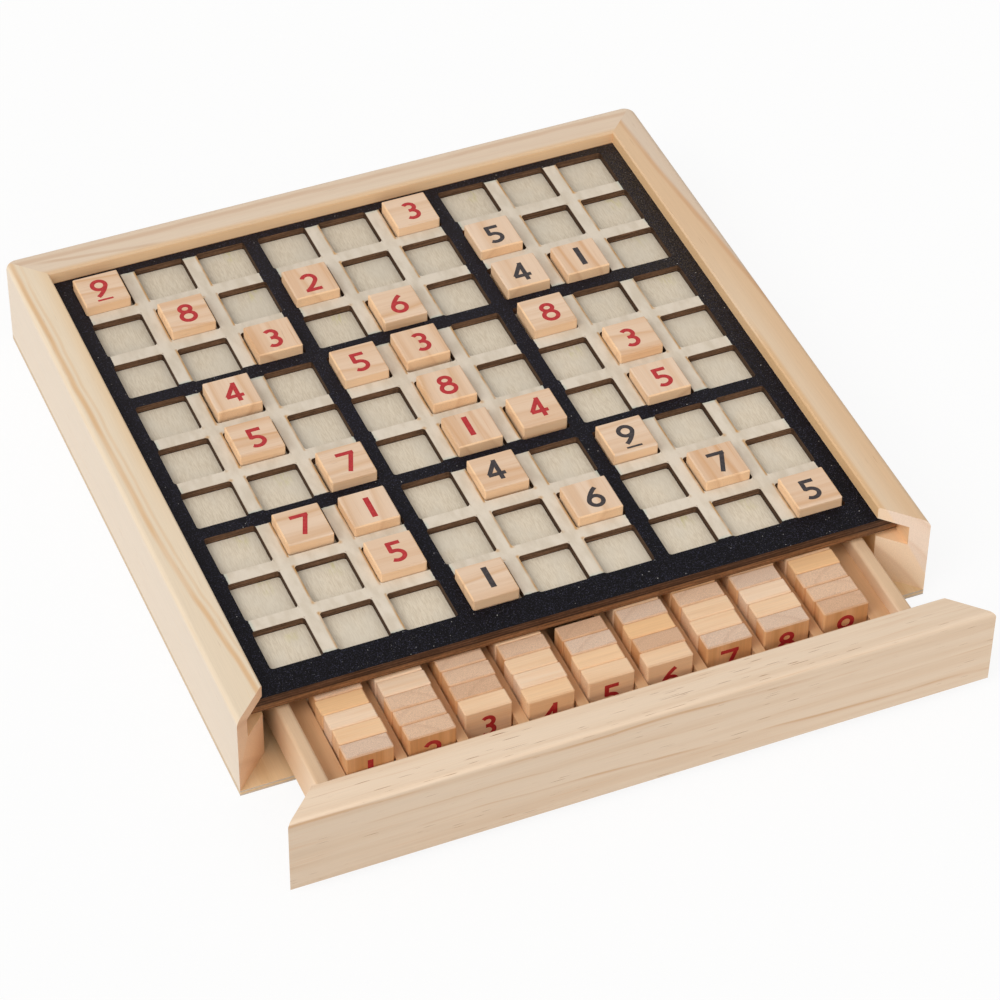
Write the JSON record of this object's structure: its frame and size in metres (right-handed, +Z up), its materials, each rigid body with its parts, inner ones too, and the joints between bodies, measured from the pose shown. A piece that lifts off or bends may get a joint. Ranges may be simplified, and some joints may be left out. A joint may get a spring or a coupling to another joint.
{
  "type": "sudoku board",
  "caption": "Wooden sudoku board: mitred frame around a pierced square grid for loose number tiles, with a sliding drawer under it that stores the spare tiles.",
  "frame": {"origin": "on the table under the centre of the closed square frame", "axes": "+Z up, -Y toward the player and the way the drawer opens, +X to the player's right"},
  "size_m": [0.226, 0.2685, 0.0308],
  "materials": {
    "pine_frame": "smooth clear-waxed pine",
    "pine_front": "smooth clear-waxed pine",
    "base_plywood": "plain sanded plywood",
    "birch_backing": "sanded birch plywood with faint scorch marks",
    "printed_plywood": "birch plywood, matt black print on the border and box lines, burnt cut edges",
    "pine_drawer": "raw sanded pine",
    "drawer_floor_plywood": "plain sanded plywood",
    "tile_wood": "sanded hardwood with printed digits"
  },
  "bodies": {
    "frame": {"left_rail": "pine_frame", "right_rail": "pine_frame", "back_rail": "pine_frame", "base_panel": "base_plywood", "backing_sheet": "birch_backing", "grid_sheet": "printed_plywood"},
    "drawer": {"drawer_front": "pine_front", "drawer_left_side": "pine_drawer", "drawer_right_side": "pine_drawer", "drawer_back": "pine_drawer", "drawer_floor": "drawer_floor_plywood", "drawer_front_block": "pine_drawer", "left_filler": "pine_drawer", "right_filler": "pine_drawer", "divider_1": "pine_drawer", "divider_2": "pine_drawer", "divider_3": "pine_drawer", "divider_4": "pine_drawer", "divider_5": "pine_drawer", "divider_6": "pine_drawer", "divider_7": "pine_drawer", "divider_8": "pine_drawer", "stored_tiles_1": "tile_wood", "stored_tiles_2": "tile_wood", "stored_tiles_3": "tile_wood", "stored_tiles_4": "tile_wood", "stored_tiles_5": "tile_wood", "stored_tiles_6": "tile_wood", "stored_tiles_7": "tile_wood", "stored_tiles_8": "tile_wood", "stored_tiles_9": "tile_wood"},
    "tile_r1c1": {"tile_r1c1": "tile_wood"},
    "tile_r1c6": {"tile_r1c6": "tile_wood"},
    "tile_r2c2": {"tile_r2c2": "tile_wood"},
    "tile_r2c4": {"tile_r2c4": "tile_wood"},
    "tile_r2c7": {"tile_r2c7": "tile_wood"},
    "tile_r3c3": {"tile_r3c3": "tile_wood"},
    "tile_r3c5": {"tile_r3c5": "tile_wood"},
    "tile_r3c7": {"tile_r3c7": "tile_wood"},
    "tile_r3c8": {"tile_r3c8": "tile_wood"},
    "tile_r4c2": {"tile_r4c2": "tile_wood"},
    "tile_r4c4": {"tile_r4c4": "tile_wood"},
    "tile_r4c5": {"tile_r4c5": "tile_wood"},
    "tile_r4c7": {"tile_r4c7": "tile_wood"},
    "tile_r5c2": {"tile_r5c2": "tile_wood"},
    "tile_r5c5": {"tile_r5c5": "tile_wood"},
    "tile_r5c8": {"tile_r5c8": "tile_wood"},
    "tile_r6c3": {"tile_r6c3": "tile_wood"},
    "tile_r6c5": {"tile_r6c5": "tile_wood"},
    "tile_r6c6": {"tile_r6c6": "tile_wood"},
    "tile_r6c8": {"tile_r6c8": "tile_wood"},
    "tile_r7c2": {"tile_r7c2": "tile_wood"},
    "tile_r7c3": {"tile_r7c3": "tile_wood"},
    "tile_r7c5": {"tile_r7c5": "tile_wood"},
    "tile_r7c7": {"tile_r7c7": "tile_wood"},
    "tile_r8c3": {"tile_r8c3": "tile_wood"},
    "tile_r8c6": {"tile_r8c6": "tile_wood"},
    "tile_r8c8": {"tile_r8c8": "tile_wood"},
    "tile_r9c4": {"tile_r9c4": "tile_wood"},
    "tile_r9c9": {"tile_r9c9": "tile_wood"}
  },
  "joints": [
    {"name": "drawer_slide", "type": "slide", "parent": "frame", "child": "drawer", "axis": [0, -1, 0], "range_m": [-0.0421, 0.14]},
    {"name": "lift_r1c1", "type": "slide", "parent": "frame", "child": "tile_r1c1", "axis": [0, 0, 1], "range_m": [0, 0.03]},
    {"name": "lift_r1c6", "type": "slide", "parent": "frame", "child": "tile_r1c6", "axis": [0, 0, 1], "range_m": [0, 0.03]},
    {"name": "lift_r2c2", "type": "slide", "parent": "frame", "child": "tile_r2c2", "axis": [0, 0, 1], "range_m": [0, 0.03]},
    {"name": "lift_r2c4", "type": "slide", "parent": "frame", "child": "tile_r2c4", "axis": [0, 0, 1], "range_m": [0, 0.03]},
    {"name": "lift_r2c7", "type": "slide", "parent": "frame", "child": "tile_r2c7", "axis": [0, 0, 1], "range_m": [0, 0.03]},
    {"name": "lift_r3c3", "type": "slide", "parent": "frame", "child": "tile_r3c3", "axis": [0, 0, 1], "range_m": [0, 0.03]},
    {"name": "lift_r3c5", "type": "slide", "parent": "frame", "child": "tile_r3c5", "axis": [0, 0, 1], "range_m": [0, 0.03]},
    {"name": "lift_r3c7", "type": "slide", "parent": "frame", "child": "tile_r3c7", "axis": [0, 0, 1], "range_m": [0, 0.03]},
    {"name": "lift_r3c8", "type": "slide", "parent": "frame", "child": "tile_r3c8", "axis": [0, 0, 1], "range_m": [0, 0.03]},
    {"name": "lift_r4c2", "type": "slide", "parent": "frame", "child": "tile_r4c2", "axis": [0, 0, 1], "range_m": [0, 0.03]},
    {"name": "lift_r4c4", "type": "slide", "parent": "frame", "child": "tile_r4c4", "axis": [0, 0, 1], "range_m": [0, 0.03]},
    {"name": "lift_r4c5", "type": "slide", "parent": "frame", "child": "tile_r4c5", "axis": [0, 0, 1], "range_m": [0, 0.03]},
    {"name": "lift_r4c7", "type": "slide", "parent": "frame", "child": "tile_r4c7", "axis": [0, 0, 1], "range_m": [0, 0.03]},
    {"name": "lift_r5c2", "type": "slide", "parent": "frame", "child": "tile_r5c2", "axis": [0, 0, 1], "range_m": [0, 0.03]},
    {"name": "lift_r5c5", "type": "slide", "parent": "frame", "child": "tile_r5c5", "axis": [0, 0, 1], "range_m": [0, 0.03]},
    {"name": "lift_r5c8", "type": "slide", "parent": "frame", "child": "tile_r5c8", "axis": [0, 0, 1], "range_m": [0, 0.03]},
    {"name": "lift_r6c3", "type": "slide", "parent": "frame", "child": "tile_r6c3", "axis": [0, 0, 1], "range_m": [0, 0.03]},
    {"name": "lift_r6c5", "type": "slide", "parent": "frame", "child": "tile_r6c5", "axis": [0, 0, 1], "range_m": [0, 0.03]},
    {"name": "lift_r6c6", "type": "slide", "parent": "frame", "child": "tile_r6c6", "axis": [0, 0, 1], "range_m": [0, 0.03]},
    {"name": "lift_r6c8", "type": "slide", "parent": "frame", "child": "tile_r6c8", "axis": [0, 0, 1], "range_m": [0, 0.03]},
    {"name": "lift_r7c2", "type": "slide", "parent": "frame", "child": "tile_r7c2", "axis": [0, 0, 1], "range_m": [0, 0.03]},
    {"name": "lift_r7c3", "type": "slide", "parent": "frame", "child": "tile_r7c3", "axis": [0, 0, 1], "range_m": [0, 0.03]},
    {"name": "lift_r7c5", "type": "slide", "parent": "frame", "child": "tile_r7c5", "axis": [0, 0, 1], "range_m": [0, 0.03]},
    {"name": "lift_r7c7", "type": "slide", "parent": "frame", "child": "tile_r7c7", "axis": [0, 0, 1], "range_m": [0, 0.03]},
    {"name": "lift_r8c3", "type": "slide", "parent": "frame", "child": "tile_r8c3", "axis": [0, 0, 1], "range_m": [0, 0.03]},
    {"name": "lift_r8c6", "type": "slide", "parent": "frame", "child": "tile_r8c6", "axis": [0, 0, 1], "range_m": [0, 0.03]},
    {"name": "lift_r8c8", "type": "slide", "parent": "frame", "child": "tile_r8c8", "axis": [0, 0, 1], "range_m": [0, 0.03]},
    {"name": "lift_r9c4", "type": "slide", "parent": "frame", "child": "tile_r9c4", "axis": [0, 0, 1], "range_m": [0, 0.03]},
    {"name": "lift_r9c9", "type": "slide", "parent": "frame", "child": "tile_r9c9", "axis": [0, 0, 1], "range_m": [0, 0.03]}
  ]
}
